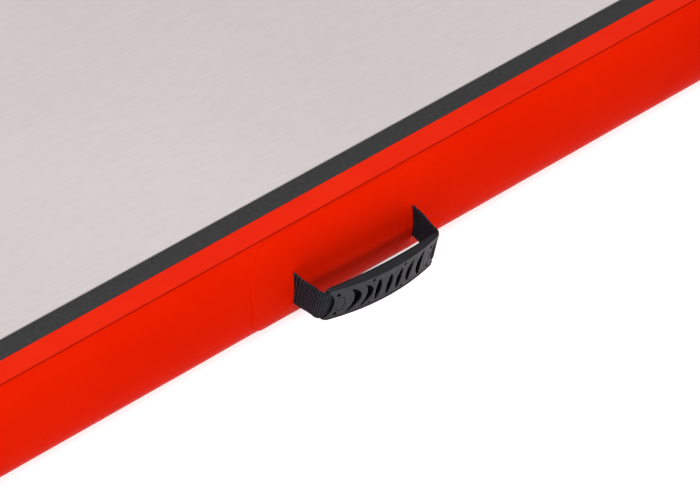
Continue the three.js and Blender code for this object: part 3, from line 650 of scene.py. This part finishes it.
def build_patch(handle):
    """The handle's patch: a rounded rectangle of coated fabric that follows the wall."""
    rows, columns = 96, 150
    top, bottom = PATCH_TOP, WALL_ARC - PATCH_BOTTOM
    points = []
    for face in (1, 0):
        for row in range(rows + 1):
            arc_length = top + (bottom - top) * (1 - math.cos(math.pi * row / rows)) / 2
            to_edge = min(arc_length - top, bottom - arc_length, PATCH_RADIUS)
            corner = math.sqrt(max(0.0, PATCH_RADIUS ** 2 - (PATCH_RADIUS - to_edge) ** 2))
            half = PATCH_HALF - PATCH_RADIUS + corner
            for column in range(columns + 1):
                across = -math.cos(math.pi * column / columns) * 0.5 + (2 * column / columns - 1) * 0.5
                x = half * across
                rim = min(to_edge, half - abs(x))
                raised = LAYER_GAP + PATCH_THICKNESS * math.sqrt(smoothstep(0.25 + rim / 1.2))
                raised += crumple(x, arc_length, handle.half_span) * smoothstep(rim / 12.0)
                points.append(handle.on_wall(x, arc_length, raised if face else 0.05))
    size = (rows + 1) * (columns + 1)
    faces = grid_faces(rows + 1, columns + 1)
    faces += [tuple(size + index for index in face) for face in reversed(faces)]
    width = columns + 1
    border = list(range(width)) + [row * width + columns for row in range(1, rows + 1)]
    border += [rows * width + column for column in range(columns - 1, -1, -1)]
    border += [row * width for row in range(rows - 1, 0, -1)]
    for here, after in zip(border, border[1:] + border[:1]):
        faces.append((here, after, size + after, size + here))
    mesh = mesh_from(f"{handle.name}_patch_sheet", points, faces, 1.0)
    patch = make_object(f"{handle.name}_patch_sheet", mesh, "wall_pvc", 60.0)
    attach(patch, "mat")
    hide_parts(f"{handle.name}_patch")


def rib(length, across, slant):
    """Height of the webbing's woven ribs, from 0 to 1. They run a little aslant across it."""
    turn = (length + slant * across) / RIB_PITCH
    return math.sqrt(abs(math.sin(math.pi * turn)))


def strap_mesh(handle, name, route, slant=0.0):
    """Webbing along a route of (lower edge, upper edge, face normal, length so far) in the handle's frame."""
    across_steps = 14
    half = STRAP_THICKNESS / 2 - RIB_HEIGHT / 2
    points = []
    painted_rib_highlight = []
    for lower, upper, normal, length in route:
        # Painted shade: inside the grip's recess the ribs' painted highlight is dimmed.
        middle = abs(lower.x) / GRIP_HALF
        shade = RECESS_PAINTED_SHADE + (1 - RECESS_PAINTED_SHADE) * smoothstep((middle - 0.8) / 0.15)
        for face in (1, -1):
            for step in range(across_steps + 1):
                part = step / across_steps if face > 0 else 1 - step / across_steps
                edge = min(part, 1 - part) * 2 * STRAP_HALF
                round_off = math.sqrt(min(1.0, 0.15 + edge / 1.2))
                crest = rib(length, (part - 0.5) * 2 * STRAP_HALF, slant)
                height = (half + RIB_HEIGHT * crest) * round_off
                points.append(lower.lerp(upper, part) + normal * (face * height))
                painted_rib_highlight.append(crest * shade)
    count = 2 * (across_steps + 1)
    faces = grid_faces(len(route), count, False, True)
    faces.append(tuple(range(count)))
    faces.append(tuple((len(route) - 1) * count + index for index in range(count)))
    mesh = mesh_from(name, points, faces, MM, handle.matrix)
    set_attribute(mesh, "crest", painted_rib_highlight)
    return mesh


RIB_SAMPLE = RIB_PITCH / 7


def leg_route(handle, side, start, end):
    """The strap from inside the wall, through its upright slit, out to the grip, on one side."""
    route = []
    x = side * handle.half_span
    steps = round((end - start) / RIB_SAMPLE)
    for step in range(steps + 1):
        out = start + (end - start) * step / steps
        shift = -ROLL * x * smoothstep((out - ROOT_FOLD) / (handle.fold - ROOT_FOLD))
        edges = []
        for width in (-STRAP_HALF, STRAP_HALF):
            free = Vector((x, -out, width + shift))
            height = ROOT_HEIGHT + width * SLIT_STRETCH
            bulge = BULGE * (1 - math.sqrt(1 - ((height - HEIGHT / 2) / (HEIGHT / 2)) ** 2))
            from_middle = handle.side * (HALF_WIDTH - bulge + min(out, 0.0))
            world = Vector((handle.along(x), from_middle, height))
            rooted = handle.inverse @ (world * MM) / MM
            edges.append(rooted.lerp(free, smoothstep(out / ROOT_BLEND)))
        route.append((edges[0], edges[1], Vector((side, 0, 0)), out))
    return route


def grip_route(handle, side, start_x, from_fold):
    """The strap from a place inside the grip to its turned end, and on towards the wall."""
    route = []
    corner_x = handle.half_span - STRAP_CORNER
    run = corner_x - start_x
    turn = STRAP_CORNER * math.pi / 2
    tail = STRAP_OUT - STRAP_CORNER - from_fold
    total = run + turn + tail
    steps = round(total / RIB_SAMPLE)
    for step in range(steps + 1):
        at = total * step / steps
        if at < run:
            x, way = start_x + at, 0.0
            out = STRAP_OUT + GRIP_BACK_BOW * (1 - (x / corner_x) ** 2)
        elif at < run + turn:
            way = (at - run) / STRAP_CORNER
            x = corner_x + STRAP_CORNER * math.sin(way)
            out = STRAP_OUT - STRAP_CORNER + STRAP_CORNER * math.cos(way)
        else:
            x, way = handle.half_span, math.pi / 2
            out = STRAP_OUT - STRAP_CORNER - (at - run - turn)
        x *= side
        fall = smoothstep((out - ROOT_FOLD) / (handle.fold - ROOT_FOLD))
        lower = Vector((x, -out, -STRAP_HALF - ROLL * x * fall))
        upper = lower + Vector((0, 0, 2 * STRAP_HALF))
        normal = Vector((side * math.sin(way), -math.cos(way), 0))
        length = STRAP_OUT + total - at
        route.append((lower, upper, normal, length))
    return route


RIGHT_SLANT = 0.4  # of the ribs as the strap turns over
MID_LEG = 20.0
HIDDEN = 55.0  # how far inside the grip its strap is split


def build_straps(handle):
    """The strap in pieces; the splits are on stretches that stay stiff."""
    name = handle.name
    mat_bend = (3.0, 12.5)
    grip_bend = (handle.fold - 4.0, handle.fold + 4.0)
    near = make_object(f"{name}_webbing_left", strap_mesh(
        handle, f"{name}_webbing_left", leg_route(handle, -1, -2.0, MID_LEG)), "webbing", 80.0)
    handle.place((0, -mat_bend[0], 0))
    handle.place((0, -mat_bend[1], 0))
    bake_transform(near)
    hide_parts(f"{name}_strap_root_left", f"{name}_strap_leg_left")

    turned = make_object(f"{name}_webbing_left_turn", strap_mesh(
        handle, f"{name}_webbing_left_turn", grip_route(handle, -1, HIDDEN, MID_LEG - 0.3)), "webbing", 80.0)
    handle.place((0, -grip_bend[0], 0))
    handle.place((0, -grip_bend[1], 0))
    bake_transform(turned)

    far = make_object(f"{name}_webbing_right", strap_mesh(
        handle, f"{name}_webbing_right", leg_route(handle, 1, -2.0, handle.fold + 0.4), RIGHT_SLANT),
        "webbing", 80.0)
    handle.place((0, -mat_bend[0], 0))
    handle.place((0, -mat_bend[1], 0))
    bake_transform(far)
    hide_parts(f"{name}_strap_root_right", f"{name}_strap_leg_right")

    held = make_object(f"{name}_webbing_right_turn", strap_mesh(
        handle, f"{name}_webbing_right_turn", grip_route(handle, 1, -HIDDEN - 2.0, handle.fold - 0.4),
        RIGHT_SLANT), "webbing", 80.0)
    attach(held, f"{name}_grip")
    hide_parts(f"{name}_strap_middle")


def grip_depth(x):
    """How far the front of the grip stands from the wall's crest."""
    return GRIP_END + GRIP_BOW * (1 - (x / GRIP_HALF) ** 2)


def back_depth(x):
    """How far the back of the grip stands from the wall's crest."""
    return GRIP_BACK + GRIP_BACK_BOW * (1 - (x / GRIP_HALF) ** 2)


def crescent(bottom, middle, top, width):
    """A tapered slot through three points of (x, z)."""
    steps = 16
    one, other = [], []
    for step in range(steps + 1):
        part = step / steps
        bend = 4 * part * (1 - part)
        x = bottom[0] + (top[0] - bottom[0]) * part + bend * (middle[0] - (bottom[0] + top[0]) / 2)
        z = bottom[1] + (top[1] - bottom[1]) * part
        half = width / 2 * max(0.3, bend) ** 0.6
        one.append((x + half, z))
        other.append((x - half, z))
    return one + other[::-1]


def ellipse(x, z, radius_x, radius_z, steps=28):
    return [(x + radius_x * math.cos(2 * math.pi * step / steps),
             z + radius_z * math.sin(2 * math.pi * step / steps)) for step in range(steps)]


def notched_outline(half_length, half_height, corner, notch):
    """A plate's outline with rounded corners and a hollow of that depth in each end."""
    mouth = half_height - corner - 0.5
    reach = (mouth ** 2 + notch ** 2) / (2 * notch)
    spread = math.degrees(math.asin(mouth / reach))
    points = []
    for side in (1, -1):
        turn = 90 - 90 * side
        x, z = side * (half_length - corner), side * (half_height - corner)
        points += arc(x, -z, corner, turn - 90, turn, 5)
        hollow = side * (half_length - notch + reach)
        points += arc(hollow, 0, reach, turn + 180 + spread, turn + 180 - spread, 14)
        points += arc(x, z, corner, turn, turn + 90, 5)
    return points


FACE_HALF_HEIGHT = GRIP_HEIGHT / 2 - GRIP_RIM + 0.3
PLUG = (59.6, -2.3, 4.7, 9.2)  # the oval plug's place, and its half width and height
SLOTS = (
    ((-50.0, -16.0), (-39.0, -1.0), (-47.5, 13.0), 9.2),
    ((-33.0, -15.0), (-23.6, -1.0), (-29.0, 11.0), 8.2),
    ((-14.4, -14.0), (-12.4, 0.0), (-13.2, 12.0), 7.2),
    ((0.9, -14.7), (2.6, -1.0), (2.9, 11.0), 7.2),
    ((14.9, -13.9), (16.0, -1.0), (17.9, 11.0), 7.2),
    ((30.8, -13.0), (30.6, 0.0), (34.6, 12.4), 7.4),
    ((48.3, -15.1), (46.6, 0.0), (51.0, 14.2), 8.0),
)
SMALL_HOLES = ((64.0, 11.2, 2.2), (64.0, -14.2, 1.9), (21.7, 15.0, 1.8), (22.6, -15.4, 1.5))


def face_outlines():
    outlines = [notched_outline(GRIP_HALF - 0.4, FACE_HALF_HEIGHT, 1.2, 9.0)]
    outlines += [crescent(*slot) for slot in SLOTS]
    for side in (-1, 1):
        x, z, half_x, half_z = PLUG
        outlines.append(ellipse(side * x, z, half_x + 0.6, half_z + 0.6))
        outlines += [ellipse(side * x, z, radius, radius, 16) for x, z, radius in SMALL_HOLES]
    return outlines


def bend_plate(mesh, place):
    """Cuts a flat plate into narrow strips and stands it up, each point at place(x, depth) from the crest."""
    bm = bmesh.new()
    bm.from_mesh(mesh)
    strips = 50
    for strip in range(1, strips):
        x = -GRIP_HALF + 2 * GRIP_HALF * strip / strips
        geometry = bm.verts[:] + bm.edges[:] + bm.faces[:]
        bmesh.ops.bisect_plane(bm, geom=geometry, plane_co=(x, 0, 0), plane_no=(1, 0, 0), dist=1e-4)
    for vertex in bm.verts:
        x, z, depth = vertex.co
        vertex.co = Vector((x, -place(x, depth), z))
    bmesh.ops.recalc_face_normals(bm, faces=bm.faces)
    bm.to_mesh(mesh)
    bm.free()
    return mesh


def rim_mesh(name, z):
    """A rim plate seen from above: bowed in front, and less so behind."""
    steps = 48
    corner = 2.6
    back, front = [], []
    for step in range(steps + 1):
        x = -GRIP_HALF + 2 * GRIP_HALF * step / steps
        pull = corner * (max(0.0, (abs(x) - GRIP_HALF + corner) / corner)) ** 2
        back.append((x, -(back_depth(x) + GRIP_BACK_THICKNESS + 0.2)))
        front.append((x, -(grip_depth(x) + 0.45 - pull)))
    mesh = flat_mesh(name, [front + back[::-1]], GRIP_RIM, 0.55)
    mesh.transform(Matrix.Translation((0, 0, z)))
    return mesh


def drop_ends(mesh):
    """The grip hangs lower at one end."""
    for vertex in mesh.vertices:
        vertex.co.z -= ROLL * vertex.co.x


def build_grip(handle, front, back):
    for suffix, source, node in (("grip_shell", front, "grip_front"), ("grip_plate", back, "grip_back")):
        mesh = source.copy()
        mesh.transform(Matrix.Scale(MM, 4))
        mesh.transform(handle.matrix)
        piece = make_object(f"{handle.name}_{suffix}", mesh, "grip_plastic", 38.0)
        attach(piece, f"{handle.name}_grip")
        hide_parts(f"{handle.name}_{node}")


def face_place(x, depth):
    """The face is thinner at its ends, where it passes over the strap's turns."""
    thickness = 0.62 + 0.38 * (1 - (x / GRIP_HALF) ** 2)
    return grip_depth(x) + (depth - 1.1) * thickness


def grip_front_mesh():
    face = bend_plate(flat_mesh("grip_face", face_outlines(), 2.2, 0.25), face_place)
    x, z, half_x, half_z = PLUG
    plugs = [bend_plate(flat_mesh("grip_plug", [ellipse(side * x, z, half_x, half_z)], 1.8, 0.3), face_place)
             for side in (-1, 1)]
    rim_place = GRIP_HEIGHT / 2 - GRIP_RIM / 2
    rims = [rim_mesh("grip_rim", side * rim_place) for side in (-1, 1)]
    mesh = join_meshes("grip_front", [face, *plugs, *rims])
    drop_ends(mesh)
    return mesh


def grip_back_mesh():
    outline = notched_outline(GRIP_HALF, GRIP_HEIGHT / 2, 4.0, 6.0)
    mesh = flat_mesh("grip_back", [outline], GRIP_BACK_THICKNESS, 0.4)
    bend_plate(mesh, lambda x, depth: back_depth(x) + GRIP_BACK_THICKNESS / 2 + depth)
    drop_ends(mesh)
    return mesh


# ------------------------------------------------------------ the valve

def turned_mesh(name, profile, steps=96):
    """A turned piece on the valve's axis. The profile's points are (radius, depth), depth outward."""
    points = []
    for step in range(steps):
        angle = 2 * math.pi * step / steps
        for radius, depth in profile:
            points.append((HALF_LENGTH + depth, radius * math.cos(angle),
                           HEIGHT / 2 + radius * math.sin(angle)))
    return mesh_from(name, points, grid_faces(steps, len(profile), True, True))


def block_mesh(name, low, high, bevel=0.4):
    """A block between two corners, with rounded edges."""
    bm = bmesh.new()
    bmesh.ops.create_cube(bm, size=1.0)
    middle = (Vector(low) + Vector(high)) / 2
    size = Vector(high) - Vector(low)
    for vertex in bm.verts:
        vertex.co = Vector(vertex.co[i] * size[i] + middle[i] for i in range(3))
    bmesh.ops.bevel(bm, geom=bm.edges[:], offset=bevel, segments=3, affect="EDGES", profile=0.5)
    mesh = bpy.data.meshes.new(name)
    bm.to_mesh(mesh)
    bm.free()
    mesh.transform(Matrix.Scale(MM, 4))
    return mesh


def depth_of(node, side):
    """Depth of a valve node's inner (0) or outer (1) end, from the wall's crest."""
    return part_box(node)[side][0] / MM - HALF_LENGTH


def softened(profile, radius=0.35):
    """The profile with each corner cut back, so that edges catch light."""
    result = []
    count = len(profile)
    for index, (x, y) in enumerate(profile):
        for other in (profile[index - 1], profile[(index + 1) % count]):
            gap = math.dist((x, y), other)
            part = min(0.45, radius / gap)
            result.append((x + (other[0] - x) * part, y + (other[1] - y) * part))
    return result


def build_valve():
    cap_face, cap_end = depth_of("valve_cap", 1), depth_of("valve_cap", 0)
    cap_under = cap_face - 2.2
    flange = depth_of("cap_seal", 0) - 0.3
    flange_back = flange - 1.9
    barrel_end = depth_of("valve_body", 0)
    tether = (depth_of("cap_tether", 0), flange_back - 0.3)
    collar = (depth_of("valve_collar", 0), tether[0] - 0.3)
    socket_floor = flange - 22.0

    shapes = {
        "valve_collar": ([(22.3, collar[0]), (29.7, collar[0]), (29.7, cap_face), (26.8, cap_face),
                          (26.8, collar[1]), (22.3, collar[1])], "valve_rubber", "mat"),
        "cap_seal": ([(18.0, flange + 0.3), (22.0, flange + 0.3), (22.0, cap_under - 0.3),
                      (18.0, cap_under - 0.3)], "valve_rubber", "valve_cap"),
    }
    for node, (profile, slot, body) in shapes.items():
        piece = make_object(f"{node}_turned", turned_mesh(node, softened(profile)), slot, 50.0)
        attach(piece, body)
        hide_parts(node)

    ring = turned_mesh("tether_ring", softened([(22.3, tether[0]), (26.4, tether[0]),
                                                (26.4, tether[1]), (22.3, tether[1])], 0.2))
    ear = block_mesh("tether_ear", (HALF_LENGTH + tether[0], -26.1, HEIGHT / 2 - 4),
                     (HALF_LENGTH + cap_under - 0.3, -24.7, HEIGHT / 2 + 4), 0.25)
    piece = make_object("cap_tether_ring", join_meshes("cap_tether_ring", [ring, ear]), "valve_rubber", 50.0)
    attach(piece, "mat")
    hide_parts("cap_tether")

    barrel = turned_mesh("barrel", softened([
        (12.0, barrel_end), (22.0, barrel_end), (22.0, flange_back), (24.4, flange_back), (24.4, flange),
        (17.0, flange), (17.0, socket_floor), (12.0, socket_floor)]))
    hub = turned_mesh("hub", softened([(3.3, socket_floor - 3), (7.0, socket_floor - 3),
                                       (7.0, socket_floor), (3.3, socket_floor)]), 48)
    arms = []
    for arm in range(3):
        mesh = block_mesh("arm", (socket_floor - 3, -1.5, 5.0), (socket_floor, 1.5, 14.0))
        mesh.transform(Matrix.Translation((HALF_LENGTH * MM, 0, HEIGHT / 2 * MM))
                       @ Matrix.Rotation(math.radians(120 * arm), 4, "X"))
        arms.append(mesh)
    barrel_mesh = join_meshes("valve_barrel", [barrel, hub, *arms])
    piece = make_object("valve_barrel", barrel_mesh, "valve_plastic", 50.0)
    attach(piece, "mat")
    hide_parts("valve_body")

    dish = 1.1
    cap = turned_mesh("cap", softened([
        (0.4, cap_under), (13.5, cap_under), (13.5, cap_end), (15.5, cap_end), (15.5, cap_under),
        (24.4, cap_under), (24.4, cap_face), (19.0, cap_face), (17.5, cap_face - dish),
        (0.4, cap_face - dish)]))
    lug = block_mesh("cap_lug", (HALF_LENGTH + cap_under, -26.1, HEIGHT / 2 - 4),
                     (HALF_LENGTH + cap_face, -22.0, HEIGHT / 2 + 4), 0.3)
    bar = block_mesh("cap_bar", (HALF_LENGTH + cap_face - dish - 0.3, -16.5, HEIGHT / 2 - 2.2),
                     (HALF_LENGTH + cap_face, 16.5, HEIGHT / 2 + 2.2), 0.4)
    centre_low, centre_high = cap_under + 0.1, cap_face - dish - 0.05
    centre = turned_mesh("cap_centre", softened([(0.0, centre_low), (1.0, centre_low),
                                                 (1.0, centre_high), (0.0, centre_high)], 0.02), 12)
    piece = make_object("valve_cap_lid", join_meshes("valve_cap_lid", [cap, lug, bar, centre]),
                        "valve_plastic", 45.0)
    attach(piece, "valve_cap")
    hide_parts("valve_cap")


# ------------------------------------------------------------ the nodes whose CAD shape is right

def finish_nodes():
    """Gives the CAD nodes that stay in view their materials."""
    finishes = {
        "top_skin": "top_pvc",
        "bottom_skin": "base_pvc",
        "valve_nut": "valve_plastic",
        "valve_stem": "valve_plastic",
        "valve_disc": "valve_rubber",
        "valve_spring": "spring_steel",
    }
    finishes.update({node: "stitch_yarn" for node in frame["nodes"] if node.startswith("drop_stitch_row")})
    for node, slot in finishes.items():
        data = frame["nodes"][node].data
        data.materials.clear()
        data.materials.append(MATERIALS[slot])


# ------------------------------------------------------------ floor, light and camera

FLOOR_GLOW = 0.7  # of the floor as the camera, reflections and clear pieces see it, over its own shade
SKY_LOW = 0.1
SKY_HIGH = 0.6


def build_stage():
    """A white floor that keeps the object's shadow and the red light from its walls."""
    half = 20.0
    under = -0.0004
    corners = [(-half, -half, under), (half, -half, under), (half, half, under), (-half, half, under)]
    mesh = mesh_from("floor", corners, [(0, 1, 2, 3)], 1.0)
    floor = bpy.data.objects.new("floor", mesh)
    bpy.context.scene.collection.objects.link(floor)
    nodes = Nodes("floor", 0.9, 0.0, Base_Color=(0.88, 0.88, 0.88, 1), Emission_Color=(1, 1, 1, 1))
    path = nodes.add("ShaderNodeLightPath").outputs
    seen = nodes.math("MAXIMUM", path["Is Camera Ray"], path["Is Glossy Ray"])
    seen = nodes.math("MAXIMUM", seen, path["Is Transmission Ray"])
    nodes.tree.links.new(nodes.math("MULTIPLY", seen, FLOOR_GLOW), nodes.shader.inputs["Emission Strength"])
    mesh.materials.append(nodes.material)


def build_world():
    """A soft sky, darker towards the horizon."""
    world = bpy.data.worlds.new("studio")
    bpy.context.scene.world = world
    world.use_nodes = True
    tree = world.node_tree
    background = tree.nodes["Background"]
    background.inputs["Color"].default_value = (1.0, 0.99, 0.985, 1)
    direction = tree.nodes.new("ShaderNodeSeparateXYZ")
    place = tree.nodes.new("ShaderNodeTexCoord")
    tree.links.new(place.outputs["Generated"], direction.inputs[0])
    sky = tree.nodes.new("ShaderNodeMapRange")
    sky.inputs["To Min"].default_value = SKY_LOW
    sky.inputs["To Max"].default_value = SKY_HIGH
    tree.links.new(direction.outputs["Z"], sky.inputs["Value"])
    tree.links.new(sky.outputs["Result"], background.inputs["Strength"])


def add_lamp(name, place, target, size, power):
    lamp = bpy.data.lights.new(name, "AREA")
    lamp.shape = "RECTANGLE"
    lamp.size, lamp.size_y = size
    lamp.energy = power
    piece = bpy.data.objects.new(name, lamp)
    piece.location = place
    piece.rotation_euler = (Vector(place) - Vector(target)).to_track_quat("Z", "Y").to_euler()
    bpy.context.scene.collection.objects.link(piece)


# The camera looks at a point of the near seam line, from in front and to the left, through a long lens.
VIEW_AZIMUTH = math.radians(-44.474)
VIEW_ELEVATION = math.radians(35.0)
VIEW_DISTANCE = 5.4288
VIEW_LENS = 282.6
VIEW_HEIGHT = 0.0293
VIEW_PAST_HANDLE = 0.0204


def build_camera():
    handle = Handle(1)
    target = Vector((handle.middle * MM + VIEW_PAST_HANDLE, -(HALF_WIDTH - BULGE) * MM, VIEW_HEIGHT))
    back = Vector((math.sin(VIEW_AZIMUTH) * math.cos(VIEW_ELEVATION),
                   -math.cos(VIEW_AZIMUTH) * math.cos(VIEW_ELEVATION), math.sin(VIEW_ELEVATION)))
    data = bpy.data.cameras.new("camera")
    data.lens = VIEW_LENS
    data.sensor_width = 36.0
    data.clip_end = 100.0
    camera = bpy.data.objects.new("camera", data)
    camera.location = target + back * VIEW_DISTANCE
    camera.rotation_euler = back.to_track_quat("Z", "Y").to_euler()
    bpy.context.scene.collection.objects.link(camera)
    bpy.context.scene.camera = camera
    return target


# ------------------------------------------------------------ the scene

look_at = build_camera()
build_stage()
build_world()
add_lamp("overhead", look_at + Vector((-0.5, -0.2, 3.3)), look_at, (3.0, 3.0), 54.0)
add_lamp("front", look_at + Vector((-0.7, -2.9, 1.25)), look_at, (1.6, 0.5), 32.0)
bpy.context.scene.view_settings.view_transform = "Standard"

finish_nodes()
build_outer_wall()
build_inner_wall()
build_tape("top_tape", "top_edge_tape", SKIN_TOP, SKIN_TOP + TAPE)
build_tape("bottom_tape", "bottom_edge_tape", RIM_UNDER - TAPE, RIM_UNDER)
front_mesh = grip_front_mesh()
back_mesh = grip_back_mesh()
for number in HANDLES:
    one = Handle(number)
    build_patch(one)
    build_straps(one)
    build_grip(one, front_mesh, back_mesh)
build_valve()
